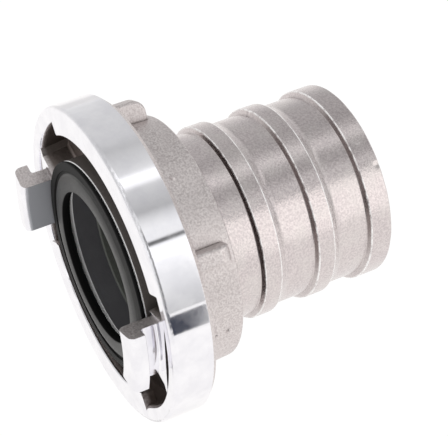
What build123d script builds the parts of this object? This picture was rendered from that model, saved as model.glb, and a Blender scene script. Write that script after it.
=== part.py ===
from build123d import *
import math
import os

# Symmetrical lug hose coupling half: a swivelling lug ring on a ribbed hose tail.
# Axis along Y. The mating plane is y = 0, the lugs point to -Y and the hose goes on from +Y.
# Angles are degrees about the axis, measured from +X towards +Z. The lugs stand at 0 and 180.

# Driving dimensions, mm
RING_OUTER_R = 63.0
RING_WIDTH = 17.3
LUG_INNER_R = 44.5
LIP_INNER_R = 51.5
POCKET_R = 56.6
LIP_THICKNESS = 4.8
RECESS_DEPTH = 12.0
TAIL_CREST_R = 39.2
TAIL_BORE_R = 32.5
TAIL_END = 105.3
JOURNAL_R = 39.8
COLLAR_R = 41.8
COLLAR_END = 12.4
SEAL_BORE_R = 30.1
SEAL_FRONT = -2.0

# Clearances, mm
RUNNING = 0.06
THRUST_GAP = 0.05

# How far shapes that are joined or cut reach into each other, mm
OVERLAP = 1.0

# Lug ring
FRONT_ROUND = 1.5
REAR_BEVEL = 1.8
LIP_EDGE = 0.4
HUB_FRONT_R = 49.6
HUB_REAR_R = 48.7
HUB_END = 35.6
HUB_EDGE = 1.2
HUB_FILLET = 1.5
HUB_COUNTERBORE_R = 43.5
SLIDE_SEAT_R = 42.1
SLIDE_SEAT_END = 14.4
BEARING_END = 26.0

# Lugs and their pockets
LUG_ANGLES = (0, 180)
LUG_HALF_ANGLE = 14.5
FOOT_HALF_ANGLE = 17.2
FOOT_DRAFT = 12.0
FOOT_FLARE = 2.2
FOOT_BLEND = 1.6
POCKET_ROUND = 2.0
LIP_CORNER = 1.5
SLOT_BEFORE = 52.5
SLOT_AFTER = 28.3
GROOVE_FLOOR = 0.8
NECK_OUTER_R = 50.4
HOOK_R = 54.8
HOOK_BACK = -5.8
LUG_NOSE = -12.2
NECK_FOOT = 1.0
NECK_FILLET = 0.9
NOSE_SLOPE = 0.7
NOSE_INNER_ROUND = 2.4
NOSE_OUTER_ROUND = 2.8
SHOULDER_ROUND = 1.0

# Spanner lugs and casting pips on the hub
SPANNER_ANGLES = (33.4, 116.5, 213.4, 296.5)
SPANNER_WIDTH = 6.6
SPANNER_R = 57.0
SPANNER_END = 32.4
SPANNER_CORNER = 5.0
SPANNER_EDGE = 1.2
PIP_ANGLES = (69.7, 173.5, 249.7, 353.5)
PIP_POSITIONS = (24.2, 29.3)
PIP_R = 1.2
PIP_HEIGHT = 0.6

# Hose tail
RIM_BEVEL = 0.5
SEAL_POCKET_R = 40.6
SEAL_POCKET_FLOOR = 7.0
SPIGOT_R = 35.5
SPIGOT_FRONT = 2.6
MOUTH_R = 33.0
MOUTH_BEVEL = 0.8
MOUTH_BEVEL_END = 3.75
BORE_STEP = 13.0
OUTLET_BEVEL = 1.0
VALLEY_R = 37.2
JOURNAL_END = 32.0
VALLEY_START = 34.6
RIB_STARTS = (50.2, 73.3, 96.5)
RIB_STEP = 1.0
RIB_CREST = 6.6
RIB_LENGTH = 10.1
RIB_EDGE = 0.5
END_ROUND = 0.7

# Retaining ring: a split ring of round spring wire
WIRE_R = 1.0
WIRE_GAP = 0.1
GROOVE_DEPTH = 1.1
SPLIT_ANGLE = 90
SPLIT_HALF_ANGLE = 4.0

# Sealing ring: a lip round the opening, a groove, and a flange that covers the collar's front
SEAL_BORE_END = 0.4
SEAL_INNER_R = 31.0
SEAL_INNER_END = 1.9
SEAL_LIP_R = 37.2
SEAL_LIP_ROUND = 1.0
SEAL_EDGE_ROUND = 0.3
SEAL_GROOVE_R = 38.4
SEAL_GROOVE_FLOOR = -0.8
SEAL_FLANGE_FRONT = -1.5
SEAL_FLANGE_ROUND = 0.5


def polygon(points):
    """Closed face in the XY plane: X is the radius and Y runs along the axis."""
    return make_face(Polyline(*points, close=True))


def rounded(face, corners, radius):
    """Round the corners of a profile that lie nearest to the given points."""
    for corner in corners:
        vertex = face.vertices().sort_by_distance((corner[0], corner[1], 0))[0]
        face = fillet(vertex, radius)
    return face


def turned(face):
    """Full solid of revolution about the coupling's axis."""
    return revolve(face, axis=Axis.Y, revolution_arc=360)


def at_angle(shape, angle):
    """Turn a shape about the axis from 0 degrees to the given angle."""
    return Rot(0, -angle, 0) * shape


def sector(face, start, end):
    """Part of a revolution, from one angle to another."""
    return at_angle(revolve(face, axis=Axis.Y, revolution_arc=end - start), end)


def band(r_in, r_out, y_front, y_back):
    """Rectangular profile between two radii and two stations along the axis."""
    return polygon([(r_in, y_front), (r_out, y_front), (r_out, y_back), (r_in, y_back)])


def ring_profile():
    """Section of the lug ring without lugs: front lip, recess, web, bearing and hub."""
    bore = JOURNAL_R + RUNNING
    face = polygon([
        (LIP_INNER_R + LIP_EDGE, 0),
        (RING_OUTER_R, 0),
        (RING_OUTER_R, RING_WIDTH - REAR_BEVEL),
        (RING_OUTER_R - REAR_BEVEL, RING_WIDTH),
        (HUB_FRONT_R, RING_WIDTH),
        (HUB_REAR_R, HUB_END),
        (HUB_COUNTERBORE_R, HUB_END),
        (HUB_COUNTERBORE_R, BEARING_END),
        (bore, BEARING_END),
        (bore, SLIDE_SEAT_END),
        (SLIDE_SEAT_R, SLIDE_SEAT_END),
        (SLIDE_SEAT_R, RECESS_DEPTH),
        (POCKET_R, RECESS_DEPTH),
        (POCKET_R, LIP_THICKNESS),
        (LIP_INNER_R, LIP_THICKNESS),
        (LIP_INNER_R, LIP_EDGE),
    ])
    face = rounded(face, [(RING_OUTER_R, 0)], FRONT_ROUND)
    face = rounded(face, [(HUB_FRONT_R, RING_WIDTH)], HUB_FILLET)
    return rounded(face, [(HUB_REAR_R, HUB_END)], HUB_EDGE)


def lug_profile():
    """Section of one lug: a neck that rises from the foot and a head that hooks outwards."""
    face = polygon([
        (LUG_INNER_R, GROOVE_FLOOR + NECK_FOOT),
        (LUG_INNER_R, LUG_NOSE),
        (HOOK_R, LUG_NOSE + NOSE_SLOPE),
        (HOOK_R, HOOK_BACK),
        (NECK_OUTER_R, HOOK_BACK),
        (NECK_OUTER_R, GROOVE_FLOOR),
        (NECK_OUTER_R + NECK_FOOT, GROOVE_FLOOR),
        (NECK_OUTER_R + NECK_FOOT, GROOVE_FLOOR + NECK_FOOT),
    ])
    face = rounded(face, [(NECK_OUTER_R, GROOVE_FLOOR)], NECK_FILLET)
    face = rounded(face, [(NECK_OUTER_R, HOOK_BACK)], SHOULDER_ROUND)
    face = rounded(face, [(LUG_INNER_R, LUG_NOSE)], NOSE_INNER_ROUND)
    return rounded(face, [(HOOK_R, LUG_NOSE)], NOSE_OUTER_ROUND)


def spanner_lug():
    """Rib behind the ring that a hook spanner pushes on, its rear corner rounded."""
    face = polygon([
        (HUB_REAR_R - OVERLAP, RING_WIDTH - OVERLAP),
        (SPANNER_R, RING_WIDTH - OVERLAP),
        (SPANNER_R, SPANNER_END),
        (HUB_REAR_R - OVERLAP, SPANNER_END),
    ])
    face = rounded(face, [(SPANNER_R, SPANNER_END)], SPANNER_CORNER)
    rib = extrude(face, SPANNER_WIDTH / 2, both=True)
    crown = rib.edges().filter_by_position(Axis.X, HUB_REAR_R, SPANNER_R + OVERLAP)
    sides = crown.filter_by(Axis.Y) + crown.filter_by(GeomType.CIRCLE)
    return fillet(sides, SPANNER_EDGE)


def pip(station):
    """Small raised dome left by the casting die."""
    hub_r = (HUB_FRONT_R + HUB_REAR_R) / 2
    dome_r = (PIP_R**2 + PIP_HEIGHT**2) / (2 * PIP_HEIGHT)
    return Pos(hub_r + PIP_HEIGHT - dome_r, station, 0) * Sphere(dome_r)


def opening_profile():
    """Section of the cut through the lip. It flares at the front, which rounds the pocket's edge."""
    flare = band(POCKET_R, POCKET_R + POCKET_ROUND, -OVERLAP, POCKET_ROUND)
    edge = Pos(POCKET_R + POCKET_ROUND, POCKET_ROUND) * Circle(POCKET_ROUND)
    return band(LUG_INNER_R, POCKET_R, -OVERLAP, LIP_THICKNESS) + (flare - edge)


def foot_outline(station, splay):
    """Outline of a foot block across the axis. Its sides move out by splay and flare near the wall."""
    outline = []
    for side in (-1, 1):
        turn = math.radians(side * FOOT_HALF_ANGLE)
        corners = []
        for r, flare in (
            (LUG_INNER_R - OVERLAP, 0),
            (POCKET_R - FOOT_FLARE, 0),
            (POCKET_R + OVERLAP, FOOT_FLARE + OVERLAP),
        ):
            out = side * (splay + flare)
            x = r * math.cos(turn) - out * math.sin(turn)
            z = r * math.sin(turn) + out * math.cos(turn)
            corners.append((x, station, z))
        outline += corners[::-side]
    return make_face(Polyline(*outline, close=True))


def foot(angle):
    """Block under a lug that closes the recess. Its sides splay out towards the web."""
    depth = RECESS_DEPTH + OVERLAP - GROOVE_FLOOR
    splay = depth * math.tan(math.radians(FOOT_DRAFT))
    block = loft([foot_outline(GROOVE_FLOOR, 0), foot_outline(GROOVE_FLOOR + depth, splay)])
    reach = turned(band(LUG_INNER_R, POCKET_R + OVERLAP / 2, 0, GROOVE_FLOOR + depth))
    return at_angle(block & reach, angle)


def axis_distance(edge):
    """Distance of an edge's middle from the coupling's axis."""
    middle = edge.center()
    return math.hypot(middle.X, middle.Z)


def lip_corners(ring):
    """The lip's four inner corners at the ends of the pockets."""
    edges = ring.edges().filter_by(Axis.Y)
    return [edge for edge in edges if abs(axis_distance(edge) - LIP_INNER_R) < LIP_EDGE]


def foot_corners(ring):
    """The inner corners between the foot blocks' sides and the web."""
    edges = ring.edges().filter_by(GeomType.LINE)
    edges = edges.filter_by_position(Axis.Y, RECESS_DEPTH - RUNNING, RECESS_DEPTH + RUNNING)
    return edges.sort_by(SortBy.LENGTH)[-2 * len(LUG_ANGLES):]


def lug_ring():
    """Swivelling ring with two hooked lugs, two pockets and four spanner lugs."""
    ring = turned(ring_profile())
    opening = opening_profile()
    lug = lug_profile()
    for angle in LUG_ANGLES:
        ring -= sector(opening, angle - SLOT_BEFORE, angle + SLOT_AFTER)
    for angle in LUG_ANGLES:
        ring += foot(angle)
    ring = fillet(foot_corners(ring), FOOT_BLEND)
    ring = fillet(lip_corners(ring), LIP_CORNER)
    for angle in LUG_ANGLES:
        ring += sector(lug, angle - LUG_HALF_ANGLE, angle + LUG_HALF_ANGLE)
    for angle in SPANNER_ANGLES:
        ring += at_angle(spanner_lug(), angle)
    for angle in PIP_ANGLES:
        for station in PIP_POSITIONS:
            ring += at_angle(pip(station), angle)
    return ring


def rib_points(start):
    """Outline of one hose rib: a steep front step, a flat crest and a slope to the valley."""
    return [
        (VALLEY_R, start - RIB_STEP),
        (TAIL_CREST_R, start),
        (TAIL_CREST_R, start + RIB_CREST),
        (VALLEY_R, start + RIB_LENGTH),
    ]


def tail_profile():
    """Section of the hose tail: collar with seal pocket, journal, wire groove, ribs and bore."""
    groove_front = BEARING_END + WIRE_GAP - THRUST_GAP
    groove_back = groove_front + 2 * WIRE_R + 2 * THRUST_GAP
    points = [
        (SEAL_POCKET_R, 0),
        (COLLAR_R - RIM_BEVEL, 0),
        (COLLAR_R, RIM_BEVEL),
        (COLLAR_R, COLLAR_END),
        (JOURNAL_R, COLLAR_END),
        (JOURNAL_R, groove_front),
        (JOURNAL_R - GROOVE_DEPTH, groove_front),
        (JOURNAL_R - GROOVE_DEPTH, groove_back),
        (JOURNAL_R, groove_back),
        (JOURNAL_R, JOURNAL_END),
        (VALLEY_R, VALLEY_START),
    ]
    for start in RIB_STARTS[:-1]:
        points += rib_points(start)
    points += rib_points(RIB_STARTS[-1])[:2]
    points += [
        (TAIL_CREST_R, TAIL_END),
        (TAIL_BORE_R + OUTLET_BEVEL, TAIL_END),
        (TAIL_BORE_R, TAIL_END - OUTLET_BEVEL),
        (TAIL_BORE_R, BORE_STEP + MOUTH_R - TAIL_BORE_R),
        (MOUTH_R, BORE_STEP),
        (MOUTH_R, MOUTH_BEVEL_END),
        (MOUTH_R + MOUTH_BEVEL, SPIGOT_FRONT),
        (SPIGOT_R, SPIGOT_FRONT),
        (SPIGOT_R, SEAL_POCKET_FLOOR),
        (SEAL_POCKET_R, SEAL_POCKET_FLOOR),
    ]
    face = polygon(points)
    for start in RIB_STARTS:
        face = rounded(face, [(VALLEY_R, start - RIB_STEP)], RIB_EDGE)
    for start in RIB_STARTS[:-1]:
        face = rounded(face, [(TAIL_CREST_R, start + RIB_CREST)], RIB_EDGE)
    return rounded(face, [(TAIL_CREST_R, TAIL_END)], END_ROUND)


def seal_profile():
    """Section of the rubber seal: lip, groove and flange in front, and a foot in the collar."""
    face = polygon([
        (SEAL_BORE_R, SEAL_FRONT),
        (SEAL_LIP_R, SEAL_FRONT),
        (SEAL_LIP_R, SEAL_GROOVE_FLOOR),
        (SEAL_GROOVE_R, SEAL_GROOVE_FLOOR),
        (SEAL_GROOVE_R, SEAL_FLANGE_FRONT),
        (COLLAR_R, SEAL_FLANGE_FRONT),
        (COLLAR_R, 0),
        (SEAL_POCKET_R, 0),
        (SEAL_POCKET_R, SEAL_POCKET_FLOOR),
        (SPIGOT_R, SEAL_POCKET_FLOOR),
        (SPIGOT_R, SPIGOT_FRONT),
        (MOUTH_R + MOUTH_BEVEL, SPIGOT_FRONT),
        (SEAL_INNER_R, SEAL_INNER_END),
        (SEAL_BORE_R, SEAL_BORE_END),
    ])
    face = rounded(face, [(SEAL_LIP_R, SEAL_FRONT)], SEAL_LIP_ROUND)
    face = rounded(face, [(SEAL_BORE_R, SEAL_FRONT), (SEAL_GROOVE_R, SEAL_FLANGE_FRONT)], SEAL_EDGE_ROUND)
    return rounded(face, [(COLLAR_R, SEAL_FLANGE_FRONT)], SEAL_FLANGE_ROUND)


def sealing_ring():
    """Rubber seal between the two halves of a coupling."""
    return turned(seal_profile())


def slide_ring():
    """Flat plastic ring between the collar and the web, so that the ring turns easily."""
    front = COLLAR_END + THRUST_GAP
    back = SLIDE_SEAT_END - THRUST_GAP
    return turned(band(JOURNAL_R + RUNNING, SLIDE_SEAT_R - RUNNING, front, back))


def retaining_ring():
    """Split wire ring in the journal's groove. It keeps the lug ring from sliding back."""
    wire = Pos(JOURNAL_R - GROOVE_DEPTH + WIRE_R, BEARING_END + WIRE_GAP + WIRE_R) * Circle(WIRE_R)
    start = SPLIT_ANGLE + SPLIT_HALF_ANGLE
    end = SPLIT_ANGLE + 360 - SPLIT_HALF_ANGLE
    return sector(wire, start, end)


def hose_tail():
    """Hose tail with its collar: the part that the hose is clamped on."""
    return turned(tail_profile())


os.makedirs("parts", exist_ok=True)
PIECES = (lug_ring, hose_tail, sealing_ring, slide_ring, retaining_ring)
for piece in PIECES:
    export_step(piece(), f"parts/{piece.__name__}.step")
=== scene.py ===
import math

import bmesh
import bpy
import numpy as np
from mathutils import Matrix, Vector


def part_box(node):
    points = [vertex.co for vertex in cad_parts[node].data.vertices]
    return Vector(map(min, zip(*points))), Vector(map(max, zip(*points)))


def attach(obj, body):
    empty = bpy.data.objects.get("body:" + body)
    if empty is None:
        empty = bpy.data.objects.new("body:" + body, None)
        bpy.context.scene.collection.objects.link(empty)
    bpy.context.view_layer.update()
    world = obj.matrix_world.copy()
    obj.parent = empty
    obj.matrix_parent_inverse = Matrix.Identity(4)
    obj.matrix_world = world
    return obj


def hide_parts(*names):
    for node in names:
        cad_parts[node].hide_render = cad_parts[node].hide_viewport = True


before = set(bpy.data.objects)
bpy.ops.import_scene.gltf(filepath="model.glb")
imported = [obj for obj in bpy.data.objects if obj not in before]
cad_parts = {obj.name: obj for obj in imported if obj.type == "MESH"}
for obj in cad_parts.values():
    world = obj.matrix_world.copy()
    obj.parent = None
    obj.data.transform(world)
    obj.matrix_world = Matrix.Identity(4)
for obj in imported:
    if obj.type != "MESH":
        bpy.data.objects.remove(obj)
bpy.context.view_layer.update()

MM = 0.001
RING_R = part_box("lug_ring")[1].x / MM
FLOOR_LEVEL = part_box("lug_ring")[0].z

# Lathed pieces
LATHE_STEPS = 600
PROFILE_STEP = 0.5 * MM
EDGE_ROUND = 0.22 * MM
ARC_TURN = math.radians(32)
TURN_PER_POINT = math.radians(18)
SAME_SPOT = 0.002 * MM

# Ribs: where they start along the axis, and how near the crest's radius a point counts as on the crest
RIBS_FROM = 40.0 * MM
CREST_BAND = 0.3 * MM

# Sealing lip's dome: the lip's crown and half width, how far its two edges lie back in mm, and how far
# in front of the mating plane it sets in, in mm
LIP_MIDDLE = 33.4 * MM
LIP_HALF = 3.8 * MM
LIP_DOME_INSIDE = 0.3
LIP_DOME_OUTSIDE = 0.85
LIP_DOME_FROM = 0.9

# Outside of the casting that is uneven: from which radius and station, and where the unevenness sets in
CAST_R = 35.9 * MM
CAST_START = 33.0 * MM
UNEVEN_START = 34.0 * MM
UNEVEN_FADE = 3.0 * MM
CREST_R = 38.2 * MM

# Dents of the casting: how many, their stations, radii and depths in mm
SMALL_DENTS = 90
DENT_STATIONS = (38, 103)
DENT_RADII = (0.6, 1.2)
DENT_DEPTHS = (0.01, 0.03)

# Larger marks of the casting: station in mm, angle in degrees, radius in mm, depth in mm
CAST_MARKS = (
    (72.6, 113.6, 0.9, 0.55),
    (104.2, 44.7, 1.3, 0.50),
    (100.4, 60.0, 0.7, 0.18),
    (61.0, 82.0, 0.8, 0.12),
    (88.5, 15.0, 1.0, 0.15),
    (66.4, 6.0, 1.1, 0.16),
    (45.8, 96.0, 0.8, 0.12),
)

# Where the ring's finishes begin and end, in mm: radii from the axis, and stations behind the mating plane
TURNED_RIM_R = RING_R - 1.9
TURNED_RIM_END = 15.525
TURNED_FACE_END = 1.15
ROUNDED_EDGE_R = RING_R - 1.5
ROUNDED_EDGE_END = 1.5
RECESS_R = 58.0
RECESS_START = 2.4
RECESS_END = 12.8
LUG_INSIDE_R = 45.65
LUG_INSIDE_END = 0.4

# The same for the tail
RIM_FACE_END = 0.5
COLLAR_END = 13.2
BORE_SIDE_R = 34.3
MOUTH_END = 3.9
BORE_STEP = 13.0
TUBE_START = 34.5
RIB_R = 38.1
# Half width of the worn rib lines, which carry a painted highlight
WORN_HIGHLIGHT_HALF_WIDTH = 0.22
# Where the painted shade on the ribs' front sides grows, across X and up Z, in mm
STEP_SHADE_ACROSS = (-14.0, 12.0)
STEP_SHADE_UP = (-14.0, 8.0)

# The same for the seal
THROAT_R = 30.95
THROAT_START = -1.65
LIP_OUTER_R = 37.25

# Colours. A pair is the dark and the pale end of one grain, and a cloud is a tone that drifts over it.
TURNED_COLOURS = (0.875, 0.87, 0.91), (0.955, 0.95, 0.98)
FORGED_COLOURS = (0.54, 0.49, 0.485), (0.82, 0.775, 0.765)
FORGED_CLOUD = (0.71, 0.655, 0.65)
# Painted shade that darkens the forged skin in its corners
FORGED_CORNER_SHADE = (0.12, 0.095, 0.085)
# Painted shade: the ring's recess is darker than its skin
RECESS_SHADE_COLOURS = (0.20, 0.17, 0.155), (0.36, 0.31, 0.29)
LUG_INSIDE_COLOUR = (0.40, 0.41, 0.44)
CAST_COLOURS = (0.575, 0.52, 0.525), (0.745, 0.68, 0.675)
CAST_CLOUD = (0.74, 0.705, 0.68)
# Painted shade that darkens the cast tail in its corners and on the ribs' front sides
CAST_CORNER_AND_STEP_SHADE = (0.13, 0.10, 0.092)
# Painted shade that darkens the collar, which sits deep in the ring
COLLAR_SHADE_COLOURS = (0.13, 0.115, 0.108), (0.25, 0.225, 0.21)
MACHINED_COLOUR = (0.90, 0.90, 0.90)
# Worn rib edges, made brighter by a painted highlight
WORN_HIGHLIGHT_COLOUR = (0.97, 0.955, 0.95)
# Painted shade that darkens the bore
BORE_SHADE_COLOURS = (0.105, 0.11, 0.098), (0.145, 0.15, 0.135)
FRONT_BORE_SHADE_COLOURS = (0.105, 0.103, 0.112), (0.155, 0.153, 0.162)
RUBBER_COLOURS = (0.012, 0.012, 0.012), (0.028, 0.027, 0.026)
DUST_COLOUR = (0.06, 0.062, 0.055)
SHADE_COLOUR = (0.006, 0.006, 0.006)
PLASTIC_COLOURS = (0.66, 0.65, 0.61), (0.76, 0.75, 0.71)
WIRE_COLOURS = (0.36, 0.355, 0.35), (0.60, 0.595, 0.59)
PAPER_COLOURS = (0.90, 0.90, 0.90), (0.93, 0.93, 0.93)
PAPER_GLOW_REFLECTED = (1.0, 0.985, 0.97)
WHITE = (1.0, 1.0, 1.0)
BLACK = (0.0, 0.0, 0.0)

# Camera: place and target in metres, lens and sensor in mm
CAMERA_PLACE = (0.3898, -0.14856, 0.38905)
CAMERA_TARGET = (0.00104, 0.05282, 0.00237)
CAMERA_ROLL = math.radians(1.262)
CAMERA_LENS = 121.22
CAMERA_SENSOR = 36.0

# Studio: radiance of the surroundings by their angle about the coupling's axis, from +X over +Z.
# Long strips run parallel to the axis, as softboxes and reflectors do beside a product table. Only
# reflections see them, up to STRIP_PEAK. All other light is an even AMBIENT.
STRIPS = (
    (-178, 0.8), (-24, 1.0), (-3, 0.45), (0.4, 0.64), (9, 0.73), (17.5, 0.86), (26, 0.95), (34, 1.08),
    (36, 1.2), (44, 1.2), (45.6, 0.95), (46.5, 0.12), (47.9, 0.12), (48.8, 0.95), (56, 0.95), (60, 0.86),
    (64, 0.71), (68.5, 0.48), (77, 0.58), (85.5, 0.66), (88.5, 1.1), (94, 1.3), (97.5, 0.80), (102, 0.71),
    (111, 0.62), (119, 0.53), (128, 0.64), (157, 0.68), (177, 0.74), (180, 0.78),
)
STRIP_PEAK = 2.0
AMBIENT = 1.12

# Half the side of the square floor
FLOOR_HALF = 3.0

# Glowing cards that only reflections see, at right angles to X: place, extent and radiance
DARK_CARD = {"x": 0.305, "starts": (-0.5, -0.5), "end": 0.1, "low": FLOOR_LEVEL, "high": 0.007,
             "colour": (0.055, 0.06, 0.08)}
BRIGHT_CARD = {"x": 0.30, "starts": (0.102, 0.13), "end": 0.6, "low": -0.012, "high": 0.27,
               "colour": (1.3, 1.28, 1.26)}

# Radiance of the dark room in front of the set, and the share of light that is missing behind it
ROOM = 0.14
BEHIND_LOSS = 0.26


# ---------------------------------------------------------------- node helpers

class Nodes:
    """A node tree that is built from short calls."""

    def __init__(self, tree):
        self.tree = tree
        tree.nodes.clear()

    def plug(self, socket, value):
        """Links a socket to an output, or gives it a plain value."""
        if isinstance(value, bpy.types.NodeSocket):
            self.tree.links.new(value, socket)
        else:
            socket.default_value = value

    def add(self, kind, inputs=None, out=0, **settings):
        """Adds a node, fills or links its inputs, and returns one of its outputs, if it has any."""
        node = self.tree.nodes.new(kind)
        for name, value in settings.items():
            setattr(node, name, value)
        for key, value in (inputs or {}).items():
            self.plug(node.inputs[key], value)
        return node.outputs[out] if len(node.outputs) else None

    def math(self, operation, a, b=None, clamp=False):
        inputs = {0: a} if b is None else {0: a, 1: b}
        return self.add("ShaderNodeMath", inputs, operation=operation, use_clamp=clamp)

    def step(self, value, low, high, a=0.0, b=1.0):
        """Smooth change from a to b while value goes from low to high."""
        inputs = {"Value": value, "From Min": low, "From Max": high, "To Min": a, "To Max": b}
        return self.add("ShaderNodeMapRange", inputs, interpolation_type="SMOOTHSTEP")

    def above(self, value, limit, soft):
        """1 where value is over the limit, with a border that reaches soft to either side of it."""
        return self.step(value, limit - soft, limit + soft)

    def below(self, value, limit, soft):
        """1 where value is under the limit, with the same border."""
        return self.step(value, limit - soft, limit + soft, 1.0, 0.0)

    def overlap(self, *masks):
        """1 where every mask is 1."""
        joined = masks[0]
        for mask in masks[1:]:
            joined = self.math("MULTIPLY", joined, mask)
        return joined

    def inverse(self, mask):
        """1 where the mask is 0."""
        return self.math("SUBTRACT", 1.0, mask)

    def parts(self, vector):
        """The three components of a vector."""
        split = self.tree.nodes.new("ShaderNodeSeparateXYZ")
        self.plug(split.inputs[0], vector)
        return split.outputs

    def mix(self, factor, a, b):
        """Blend of two numbers."""
        return self.add("ShaderNodeMix", {"Factor": factor, "A": a, "B": b}, data_type="FLOAT")

    def blend(self, factor, a, b):
        """Blend of two colours. A mix node holds its colours in inputs 6 and 7 and in output 2."""
        a, b = ((*value, 1.0) if isinstance(value, tuple) else value for value in (a, b))
        return self.add("ShaderNodeMix", {0: factor, 6: a, 7: b}, out=2, data_type="RGBA")

    def scaled(self, vector, factors):
        return self.add("ShaderNodeVectorMath", {0: vector, 1: factors}, operation="MULTIPLY")

    def noise(self, vector, scale, detail, roughness):
        inputs = {"Vector": vector, "Scale": scale, "Detail": detail, "Roughness": roughness}
        return self.add("ShaderNodeTexNoise", inputs)

    def bump(self, height, distance, strength, normal=None):
        """Normal of a surface with fine height differences, on top of another normal if one is given."""
        inputs = {"Height": height, "Distance": distance, "Strength": strength}
        if normal is not None:
            inputs["Normal"] = normal
        return self.add("ShaderNodeBump", inputs)


def axial(nodes):
    """Object coordinates in mm, and the radius and station along the coupling's axis in mm."""
    place = nodes.add("ShaderNodeTexCoord", out=3)
    place = nodes.scaled(place, (1 / MM, 1 / MM, 1 / MM))
    x, y, z = nodes.parts(place)
    squares = nodes.math("ADD", nodes.math("MULTIPLY", x, x), nodes.math("MULTIPLY", z, z))
    return place, nodes.math("SQRT", squares), y


def around(nodes):
    """How far a surface faces along the circumference: 0 on turned faces, 1 on the lugs' ends."""
    place = nodes.add("ShaderNodeTexCoord", out=3)
    radial = nodes.scaled(place, (1, 0, 1))
    tangent = nodes.add("ShaderNodeVectorMath", {0: radial, 1: (0, 1, 0)}, operation="CROSS_PRODUCT")
    tangent = nodes.add("ShaderNodeVectorMath", {0: tangent}, operation="NORMALIZE")
    normal = nodes.add("ShaderNodeTexCoord", out=1)
    along = nodes.add("ShaderNodeVectorMath", {0: tangent, 1: normal}, out=1, operation="DOT_PRODUCT")
    return nodes.math("ABSOLUTE", along)


def facing_front(nodes, low, high):
    """1 on surfaces that look to -Y, towards the mating plane."""
    normal = nodes.parts(nodes.add("ShaderNodeTexCoord", out=1))
    return nodes.step(nodes.math("MULTIPLY", normal[1], -1.0), low, high)


def crevice(nodes, distance, low, high):
    """1 on open surfaces and less in corners that are closer than distance."""
    open_share = nodes.add("ShaderNodeAmbientOcclusion", {"Distance": distance}, out=1, samples=6)
    return nodes.step(open_share, low, high)


def material(name):
    """A new material, and the helper that fills its node tree."""
    made = bpy.data.materials.new(name)
    made.use_nodes = True
    return made, Nodes(made.node_tree)


def principled(nodes, **inputs):
    """Principled surface; an underscore in an input's name stands for a space."""
    named = {key.replace("_", " "): value for key, value in inputs.items()}
    nodes.add("ShaderNodeOutputMaterial", {"Surface": nodes.add("ShaderNodeBsdfPrincipled", named)})


# ---------------------------------------------------------------- materials

def turned_look(nodes, place, r, y):
    """Colour, roughness and bump of bright turned aluminium: fine lathe lines and faint smudges."""
    along = nodes.math("ADD", r, y)
    lines = nodes.noise(nodes.add("ShaderNodeCombineXYZ", {0: along}), 3.2, 3.0, 0.7)
    smudge = nodes.step(nodes.noise(place, 0.11, 4.0, 0.6), 0.32, 0.68)
    colour = nodes.blend(smudge, *TURNED_COLOURS)
    rough = nodes.step(smudge, 0.0, 1.0, 0.065, 0.11)
    return colour, rough, lines


def forged_look(nodes, place):
    """Colour, roughness and height of an as-forged, blasted aluminium skin, with painted shade in its
    corners.
    """
    sand = nodes.noise(place, 1.35, 3.0, 0.62)
    cloud = nodes.noise(place, 0.16, 4.0, 0.6)
    colour = nodes.blend(nodes.step(sand, 0.34, 0.66), *FORGED_COLOURS)
    colour = nodes.blend(nodes.step(cloud, 0.35, 0.7, 0.0, 0.35), colour, FORGED_CLOUD)
    # Painted shade: ambient occlusion darkens the colour in corners
    unshaded = nodes.overlap(crevice(nodes, 4 * MM, 0.1, 0.8), crevice(nodes, 0.9 * MM, 0.3, 0.95))
    colour = nodes.blend(unshaded, FORGED_CORNER_SHADE, colour)
    rough = nodes.step(sand, 0.3, 0.7, 0.36, 0.50)
    return colour, rough, sand


def ring_material():
    """Forged ring: bright where it was turned, blasted elsewhere, with painted shade in its corners, darker
    with painted shade in the recess, and dull inside the lugs.
    """
    made, nodes = material("forged_aluminium")
    place, r, y = axial(nodes)
    bright, bright_rough, lines = turned_look(nodes, place, r, y)
    skin, skin_rough, sand = forged_look(nodes, place)

    lengthwise = nodes.step(around(nodes), 0.25, 0.5, 1.0, 0.0)
    rim = nodes.overlap(nodes.above(r, TURNED_RIM_R, 0.1), nodes.below(y, TURNED_RIM_END, 0.075))
    face = nodes.below(y, TURNED_FACE_END, 0.15)
    turned = nodes.overlap(nodes.math("MAXIMUM", rim, face), lengthwise)
    recess = nodes.overlap(
        nodes.above(y, RECESS_START, 1.0), nodes.below(y, RECESS_END, 0.2), nodes.below(r, RECESS_R, 0.2))
    rounded_edge = nodes.overlap(nodes.above(r, ROUNDED_EDGE_R, 0.2), nodes.below(y, ROUNDED_EDGE_END, 0.2))
    lug_inside = nodes.overlap(
        nodes.below(r, LUG_INSIDE_R, 0.25), nodes.below(y, LUG_INSIDE_END, 0.2), lengthwise,
        nodes.inverse(facing_front(nodes, 0.3, 0.6)))

    # Painted shade darkens the recess
    skin = nodes.blend(recess, skin, nodes.blend(sand, *RECESS_SHADE_COLOURS))
    colour = nodes.blend(turned, skin, bright)
    colour = nodes.blend(lug_inside, colour, LUG_INSIDE_COLOUR)
    rough = nodes.mix(turned, skin_rough, bright_rough)
    rough = nodes.mix(rounded_edge, rough, 0.22)
    rough = nodes.mix(lug_inside, rough, 0.33)
    metallic = nodes.mix(lug_inside, 1.0, 0.5)
    grain = nodes.bump(sand, nodes.mix(turned, 0.06 * MM, 0.0), 0.9)
    normal = nodes.bump(lines, nodes.mix(turned, 0.0, 0.004 * MM), 1.0, grain)
    rounding = {"Radius": nodes.mix(rounded_edge, 0.25 * MM, 1.0 * MM), "Normal": normal}
    principled(
        nodes, Base_Color=colour, Metallic=metallic, Roughness=rough,
        Normal=nodes.add("ShaderNodeBevel", rounding, samples=6),
        Anisotropic=nodes.mix(turned, 0.0, 0.75), Anisotropic_Rotation=0.25,
        Tangent=nodes.add("ShaderNodeTangent", direction_type="RADIAL", axis="Y"))
    return made


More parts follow.
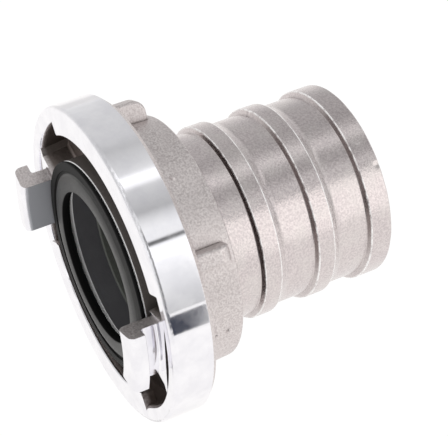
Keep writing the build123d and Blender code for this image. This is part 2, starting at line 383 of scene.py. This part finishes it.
def step_side_shade(nodes, place, y):
    """Painted shade on the ribs' front sides, strong on the upper +X side and weak elsewhere."""
    x, _, z = nodes.parts(place)
    front_side = nodes.overlap(facing_front(nodes, 0.3, 0.7), nodes.above(y, TUBE_START, 1.5))
    return nodes.overlap(
        front_side, nodes.step(x, *STEP_SHADE_ACROSS, 0.12, 0.66), nodes.step(z, *STEP_SHADE_UP, 0.25, 1.0))


def worn_rib_highlights(nodes, place, r, y, stations):
    """Worn lines with a painted highlight along the ribs' edges, which lie at the given stations in mm."""
    worn_highlight = 0.0
    for station in stations:
        off = nodes.math("ABSOLUTE", nodes.math("SUBTRACT", y, station))
        worn_highlight = nodes.math("ADD", worn_highlight, nodes.below(off, WORN_HIGHLIGHT_HALF_WIDTH, 0.12))
    patchy = nodes.step(nodes.noise(place, 0.35, 3.0, 0.6), 0.36, 0.56, 0.35, 1.0)
    return nodes.overlap(worn_highlight, patchy, nodes.above(r, RIB_R, 0.1))


def tail_material(worn_highlight_stations):
    """Tumbled casting with bright machined edges, worn rib edges with a painted highlight, painted shade in
    corners and on the ribs' front sides, and painted shade that darkens the dull collar and the bore.
    """
    made, nodes = material("cast_aluminium")
    place, r, y = axial(nodes)
    grain = nodes.noise(place, 1.25, 3.0, 0.62)
    fine = nodes.noise(place, 2.6, 2.0, 0.6)
    cloud = nodes.noise(place, 0.09, 4.0, 0.6)

    inner = nodes.below(r, BORE_SIDE_R, 0.1)
    bore = nodes.overlap(inner, nodes.above(y, MOUTH_END, 0.05))
    front_bore = nodes.overlap(bore, nodes.below(y, BORE_STEP, 0.1))
    mouth = nodes.math("SUBTRACT", inner, bore)
    machined = nodes.math("ADD", nodes.below(y, RIM_FACE_END, 0.05), mouth, clamp=True)
    collar = nodes.overlap(nodes.below(y, COLLAR_END, 0.2), nodes.inverse(inner))
    worn_highlight = worn_rib_highlights(nodes, place, r, y, worn_highlight_stations)
    # Painted shade in corners and on the ribs' front sides
    unshaded = nodes.overlap(crevice(nodes, 1.6 * MM, 0.3, 0.85), nodes.inverse(step_side_shade(nodes, place, y)))

    colour = nodes.blend(nodes.step(grain, 0.33, 0.67), *CAST_COLOURS)
    colour = nodes.blend(nodes.step(cloud, 0.4, 0.7, 0.0, 0.4), colour, CAST_CLOUD)
    colour = nodes.blend(unshaded, CAST_CORNER_AND_STEP_SHADE, colour)
    # Painted shade darkens the collar
    colour = nodes.blend(collar, colour, nodes.blend(grain, *COLLAR_SHADE_COLOURS))
    colour = nodes.blend(machined, colour, MACHINED_COLOUR)
    # Worn rib edges with a painted highlight
    colour = nodes.blend(worn_highlight, colour, WORN_HIGHLIGHT_COLOUR)
    # Painted shade darkens the bore
    colour = nodes.blend(bore, colour, nodes.blend(grain, *BORE_SHADE_COLOURS))
    colour = nodes.blend(front_bore, colour, nodes.blend(cloud, *FRONT_BORE_SHADE_COLOURS))

    rough = nodes.step(cloud, 0.3, 0.7, 0.16, 0.23)
    metallic = nodes.mix(bore, 1.0, 0.5)
    for zone, zone_rough, zone_metallic in ((collar, 0.42, 0.6), (machined, 0.35, 0.25)):
        rough = nodes.mix(zone, rough, zone_rough)
        metallic = nodes.mix(zone, metallic, zone_metallic)
    rough = nodes.mix(bore, rough, 0.45)
    metallic = nodes.mix(worn_highlight, metallic, 0.5)
    height = nodes.math("ADD", grain, nodes.math("MULTIPLY", fine, 0.5))
    normal = nodes.bump(height, nodes.mix(machined, 0.06 * MM, 0.0), 0.9)
    principled(nodes, Base_Color=colour, Metallic=metallic, Roughness=rough, Normal=normal)
    return made


def seal_material():
    """Moulded rubber, a little dusty, with painted shade that makes its throat and the outside of the lip
    deep black.
    """
    made, nodes = material("seal_rubber")
    place, r, y = axial(nodes)
    grain = nodes.noise(place, 2.2, 4.0, 0.6)
    dust = nodes.step(nodes.noise(place, 0.12, 5.0, 0.65), 0.45, 0.75, 0.0, 0.35)
    throat = nodes.overlap(nodes.below(r, THROAT_R, 0.35), nodes.above(y, THROAT_START, 0.25))
    shade = nodes.math("MAXIMUM", throat, nodes.above(r, LIP_OUTER_R, 0.25))

    colour = nodes.blend(grain, *RUBBER_COLOURS)
    colour = nodes.blend(dust, colour, DUST_COLOUR)
    colour = nodes.blend(shade, colour, SHADE_COLOUR)
    rough = nodes.mix(shade, nodes.step(grain, 0.3, 0.7, 0.38, 0.50), 0.6)
    shine = nodes.mix(throat, nodes.mix(shade, 0.42, 0.16), 0.03)
    normal = nodes.bump(grain, 0.03 * MM, 0.7)
    principled(
        nodes, Base_Color=colour, Roughness=rough, Normal=normal, IOR=1.52, Specular_IOR_Level=shine)
    return made


def plastic_material():
    """Natural white plastic with a fine moulded grain."""
    made, nodes = material("ring_plastic")
    place, _, _ = axial(nodes)
    grain = nodes.noise(place, 3.0, 3.0, 0.6)
    colour = nodes.blend(grain, *PLASTIC_COLOURS)
    rough = nodes.step(grain, 0.3, 0.7, 0.42, 0.5)
    principled(nodes, Base_Color=colour, Roughness=rough, Normal=nodes.bump(grain, 0.02 * MM, 0.6))
    return made


def wire_material():
    """Drawn spring wire with streaks along it."""
    made, nodes = material("spring_wire")
    place, r, y = axial(nodes)
    streak = nodes.noise(nodes.add("ShaderNodeCombineXYZ", {0: r, 1: y}), 9.0, 3.0, 0.6)
    cloud = nodes.noise(place, 0.5, 3.0, 0.5)
    colour = nodes.blend(streak, *WIRE_COLOURS)
    rough = nodes.step(cloud, 0.3, 0.7, 0.28, 0.4)
    principled(
        nodes, Base_Color=colour, Metallic=1.0, Roughness=rough, Normal=nodes.bump(streak, 0.02 * MM, 0.6))
    return made


# ---------------------------------------------------------------- lathed pieces

def section(node_name):
    """Closed outline (radius, station) of a turned CAD node, read along its seam in the XY plane."""
    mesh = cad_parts[node_name].data
    work = bmesh.new()
    work.from_mesh(mesh)
    bmesh.ops.remove_doubles(work, verts=work.verts, dist=SAME_SPOT)
    seam = [e for e in work.edges if all(abs(v.co.z) < SAME_SPOT and v.co.x > 0 for v in e.verts)]
    links = {}
    for edge in seam:
        a, b = edge.verts
        links.setdefault(a.index, []).append(b.index)
        links.setdefault(b.index, []).append(a.index)
    work.verts.ensure_lookup_table()
    start = seam[0].verts[0].index
    order = [start]
    while True:
        onward = [i for i in links[order[-1]] if i not in order[-2:]]
        if not onward or onward[0] == start:
            break
        order.append(onward[0])
    points = [(work.verts[i].co.x, work.verts[i].co.y) for i in order]
    work.free()
    return np.array(points)


def softened(points):
    """The outline with every corner rounded: a little at edges, fully between the chords of an arc."""
    out = []
    count = len(points)
    for i in range(count):
        before, here, after = points[i - 1], points[i], points[(i + 1) % count]
        into, away = here - before, after - here
        reach = min(np.linalg.norm(into), np.linalg.norm(away)) / 2
        into, away = into / np.linalg.norm(into), away / np.linalg.norm(away)
        turn = math.acos(max(-1.0, min(1.0, float(into @ away))))
        if turn > ARC_TURN:
            reach = min(0.9 * reach, EDGE_ROUND * math.tan(turn / 2))
        start, end = here - into * reach, here + away * reach
        pieces = max(2, int(turn / TURN_PER_POINT))
        for k in range(pieces + 1):
            t = k / pieces
            out.append((1 - t) ** 2 * start + 2 * t * (1 - t) * here + t * t * end)
    return np.array(out)


def divided(points, step):
    """The outline with no stretch longer than step, and no two points on the same spot."""
    out = []
    for a, b in zip(points, np.roll(points, -1, axis=0)):
        length = np.linalg.norm(b - a)
        if length < 2 * SAME_SPOT:
            continue
        pieces = max(1, math.ceil(length / step))
        for k in range(pieces):
            out.append(a + (b - a) * k / pieces)
    return np.array(out)


def lathe(name, outline, steps, shape):
    """Piece turned from a closed outline. shape(r, y, angle) gives each point's final radius and station."""
    angle = np.arange(steps) * 2 * math.pi / steps
    r = np.repeat(outline[:, 0][None], steps, axis=0)
    y = np.repeat(outline[:, 1][None], steps, axis=0)
    turn = np.repeat(angle[:, None], len(outline), axis=1)
    r, y = shape(r, y, turn)
    co = np.stack([r * np.cos(turn), y, r * np.sin(turn)], axis=-1).reshape(-1, 3)
    count = len(outline)
    i, j = np.meshgrid(np.arange(steps), np.arange(count), indexing="ij")
    a = i * count + j
    b = i * count + (j + 1) % count
    c = ((i + 1) % steps) * count + (j + 1) % count
    d = ((i + 1) % steps) * count + j
    faces = np.stack([a, b, c, d], axis=-1).reshape(-1, 4)
    ahead = np.roll(outline, -1, axis=0)
    clockwise = np.sum(outline[:, 0] * ahead[:, 1] - ahead[:, 0] * outline[:, 1]) < 0
    if clockwise:
        faces = faces[:, ::-1]
    mesh = bpy.data.meshes.new(name)
    mesh.from_pydata(co.tolist(), [], faces.tolist())
    mesh.validate()
    mesh.shade_smooth()
    piece = bpy.data.objects.new(name, mesh)
    bpy.context.scene.collection.objects.link(piece)
    return piece


def waves(angle, y, seed, count, most, pitch):
    """Smooth unevenness without a seam, about 1 in size. most is the highest count of waves around."""
    chance = np.random.default_rng(seed)
    total = np.zeros_like(angle)
    for _ in range(count):
        around_count = int(chance.integers(1, most))
        along = chance.uniform(-1, 1) * 2 * math.pi / pitch
        total += np.sin(around_count * angle + along * y + chance.uniform(0, 2 * math.pi))
    return total / math.sqrt(count)


def cast_tail(r, y, angle):
    """Unevenness of the cast tail: soft waves, worn ribs, small dents and a few pits."""
    outside = (r > CAST_R) & (y > CAST_START)
    fade = np.clip((y - UNEVEN_START) / UNEVEN_FADE, 0, 1) * outside
    move = 0.010 * waves(angle, y, seed=3, count=30, most=10, pitch=30 * MM)
    move = move + 0.004 * waves(angle, y, seed=4, count=40, most=50, pitch=8 * MM)
    chance = np.random.default_rng(11)
    marks = list(CAST_MARKS)
    for _ in range(SMALL_DENTS):
        station, degrees = chance.uniform(*DENT_STATIONS), chance.uniform(0, 360)
        marks.append((station, degrees, chance.uniform(*DENT_RADII), chance.uniform(*DENT_DEPTHS)))
    for station, degrees, size, depth in marks:
        across = (angle - math.radians(degrees) + math.pi) % (2 * math.pi) - math.pi
        far = np.hypot(across * r, y - station * MM) / (size * MM)
        move = move - depth * np.exp(-2.0 * far ** 2)
    top = np.max(np.where(outside, r, 0))
    edge = 0.03 * waves(angle, y, seed=8, count=30, most=40, pitch=60 * MM) * fade * (r > CREST_R)
    uneven = np.minimum(r + move * MM * fade, top)
    return np.where(outside, uneven, r), np.minimum(y + edge * MM, np.max(y))


def moulded_seal(r, y, angle):
    """The moulded seal's lip is a little domed, and its face is not quite even."""
    front = y < 0
    dome = np.clip(((r - LIP_MIDDLE) / LIP_HALF) ** 2, 0, 1) * (r < LIP_MIDDLE + LIP_HALF)
    dome = dome * np.where(r < LIP_MIDDLE, LIP_DOME_INSIDE, LIP_DOME_OUTSIDE)
    dome = dome * np.clip(-y / MM - LIP_DOME_FROM, 0, 1)
    uneven = 0.015 * (1 + waves(angle, r, seed=21, count=14, most=9, pitch=40 * MM)) * front
    return r, y + (dome + uneven) * MM


def crest_edges(points):
    """Stations in mm where the outline turns onto or off a rib's crest."""
    crest = np.max(points[points[:, 1] > RIBS_FROM, 0])
    found = []
    for before, here, after in zip(np.roll(points, 1, axis=0), points, np.roll(points, -1, axis=0)):
        on_crest = here[1] > RIBS_FROM and crest - here[0] < CREST_BAND
        leaves = max(crest - before[0], crest - after[0]) > CREST_BAND / 2
        stays = min(abs(before[0] - here[0]), abs(after[0] - here[0])) < CREST_BAND / 10
        if on_crest and leaves and stays:
            found.append(here[1] / MM)
    return sorted(found)


def stand_in(name, node_name, steps, shape):
    """Lathed piece that rides the tail body and replaces a turned CAD node."""
    outline = divided(softened(section(node_name)), PROFILE_STEP)
    piece = lathe(name, outline, steps, shape)
    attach(piece, "tail")
    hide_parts(node_name)
    return piece


def dress(piece, made):
    """Gives a piece one material in every slot."""
    piece.data.materials.clear()
    piece.data.materials.append(made)


rib_edges = crest_edges(section("hose_tail"))
tail = stand_in("hose_tail_cast", "hose_tail", LATHE_STEPS, cast_tail)
seal = stand_in("sealing_ring_moulded", "sealing_ring", LATHE_STEPS // 2, moulded_seal)

dress(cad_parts["lug_ring"], ring_material())
dress(tail, tail_material(rib_edges))
dress(seal, seal_material())
dress(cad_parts["slide_ring"], plastic_material())
dress(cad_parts["retaining_ring"], wire_material())


# ---------------------------------------------------------------- studio

def flat(name, corners):
    """Four-cornered sheet that belongs to the set and not to the object."""
    mesh = bpy.data.meshes.new(name)
    mesh.from_pydata(corners, [], [(0, 1, 2, 3)])
    made = bpy.data.objects.new(name, mesh)
    bpy.context.scene.collection.objects.link(made)
    return made


def studio_floor():
    """White paper that glows, so that it is white in the picture. Reflections see its far -X side darker."""
    signs = ((-1, -1), (1, -1), (1, 1), (-1, 1))
    floor = flat("floor", [(a * FLOOR_HALF, b * FLOOR_HALF, FLOOR_LEVEL) for a, b in signs])
    made, nodes = material("floor_paper")
    place = nodes.add("ShaderNodeTexCoord", out=3)
    grain = nodes.noise(place, 900.0, 2.0, 0.5)
    diffuse = nodes.add("ShaderNodeBsdfDiffuse", {"Color": nodes.blend(grain, *PAPER_COLOURS)})
    to_camera = nodes.add("ShaderNodeLightPath")
    light = nodes.mix(to_camera, nodes.step(nodes.parts(place)[0], -0.6, -0.25, 0.78, 1.02), 1.04)
    tint = nodes.blend(to_camera, PAPER_GLOW_REFLECTED, WHITE)
    glow = nodes.add("ShaderNodeEmission", {"Color": tint, "Strength": light})
    paper = nodes.add("ShaderNodeMixShader", {0: nodes.mix(to_camera, 0.9, 0.96), 1: diffuse, 2: glow})
    nodes.add("ShaderNodeOutputMaterial", {"Surface": paper})
    dress(floor, made)


def card(name, x, starts, end, low, high, colour):
    """Glowing card that only reflections see. starts is where it starts along Y, at its bottom and top."""
    made, nodes = material(name)
    glow = nodes.add("ShaderNodeEmission", {"Color": (*colour, 1.0), "Strength": 1.0})
    nodes.add("ShaderNodeOutputMaterial", {"Surface": glow})
    sheet = flat(name, [(x, starts[0], low), (x, end, low), (x, end, high), (x, starts[1], high)])
    dress(sheet, made)
    sheet.visible_camera = False
    sheet.visible_diffuse = False
    sheet.visible_shadow = False


def studio_cards():
    """A dark card draws the dark line on the ring. A bright one behind it lights the hub and the tail."""
    card("dark_card", **DARK_CARD)
    card("bright_card", **BRIGHT_CARD)


def studio_world():
    """Reflections see the strips, the dark room ahead and the dimmer set behind. The rest is even light.

    x, y and z are the parts of a ray's direction.
    """
    world = bpy.data.worlds.new("studio")
    bpy.context.scene.world = world
    world.use_nodes = True
    nodes = Nodes(world.node_tree)
    x, y, z = nodes.parts(nodes.add("ShaderNodeTexCoord", out=0))
    angle = nodes.math("ARCTAN2", z, x)
    share = nodes.math("ADD", nodes.math("DIVIDE", angle, 2 * math.pi), 0.5)
    ramp = nodes.tree.nodes.new("ShaderNodeValToRGB")
    elements = ramp.color_ramp.elements
    while len(elements) > 1:
        elements.remove(elements[-1])
    for i, (degrees, value) in enumerate(STRIPS):
        stop = elements[0] if i == 0 else elements.new((degrees + 180) / 360)
        stop.color = (value / STRIP_PEAK,) * 3 + (1,)
    nodes.plug(ramp.inputs[0], share)
    ahead = nodes.overlap(
        nodes.below(y, -0.08, 0.04), nodes.above(y, -0.62, 0.04), nodes.above(x, 0.56, 0.06))
    glow = nodes.blend(ahead, ramp.outputs[0], (ROOM / STRIP_PEAK,) * 3)
    behind = nodes.overlap(
        nodes.step(y, 0.32, 0.42, 0.0, BEHIND_LOSS), nodes.step(y, 0.47, 0.6, 1.0, 0.0),
        nodes.step(z, 0.0, 0.15))
    glow = nodes.blend(behind, glow, BLACK)
    mirror = nodes.add("ShaderNodeBackground", {"Color": glow, "Strength": STRIP_PEAK})
    soft = nodes.add("ShaderNodeBackground", {"Color": (*WHITE, 1.0), "Strength": AMBIENT})
    path = nodes.tree.nodes.new("ShaderNodeLightPath")
    surface = nodes.add("ShaderNodeMixShader", {0: path.outputs["Is Glossy Ray"], 1: soft, 2: mirror})
    nodes.add("ShaderNodeOutputWorld", {"Surface": surface})
    world.cycles.sampling_method = "NONE"


def photo_camera():
    """Camera at the angle of the reference view, turned a little about its own axis."""
    data = bpy.data.cameras.new("camera")
    data.sensor_fit = "HORIZONTAL"
    data.sensor_width = CAMERA_SENSOR
    data.lens = CAMERA_LENS
    data.clip_start = 0.01
    data.clip_end = 20
    camera = bpy.data.objects.new("camera", data)
    bpy.context.scene.collection.objects.link(camera)
    bpy.context.scene.camera = camera
    place = Vector(CAMERA_PLACE)
    forward = (Vector(CAMERA_TARGET) - place).normalized()
    right = forward.cross(Vector((0, 0, 1))).normalized()
    up = right.cross(forward)
    turned_up = up * math.cos(CAMERA_ROLL) + right * math.sin(CAMERA_ROLL)
    turned_right = forward.cross(turned_up)
    matrix = camera.matrix_world.copy()
    for row in range(3):
        matrix[row][0] = turned_right[row]
        matrix[row][1] = turned_up[row]
        matrix[row][2] = -forward[row]
        matrix[row][3] = place[row]
    camera.matrix_world = matrix


studio_floor()
studio_cards()
studio_world()
photo_camera()
bpy.context.scene.view_settings.view_transform = "Standard"
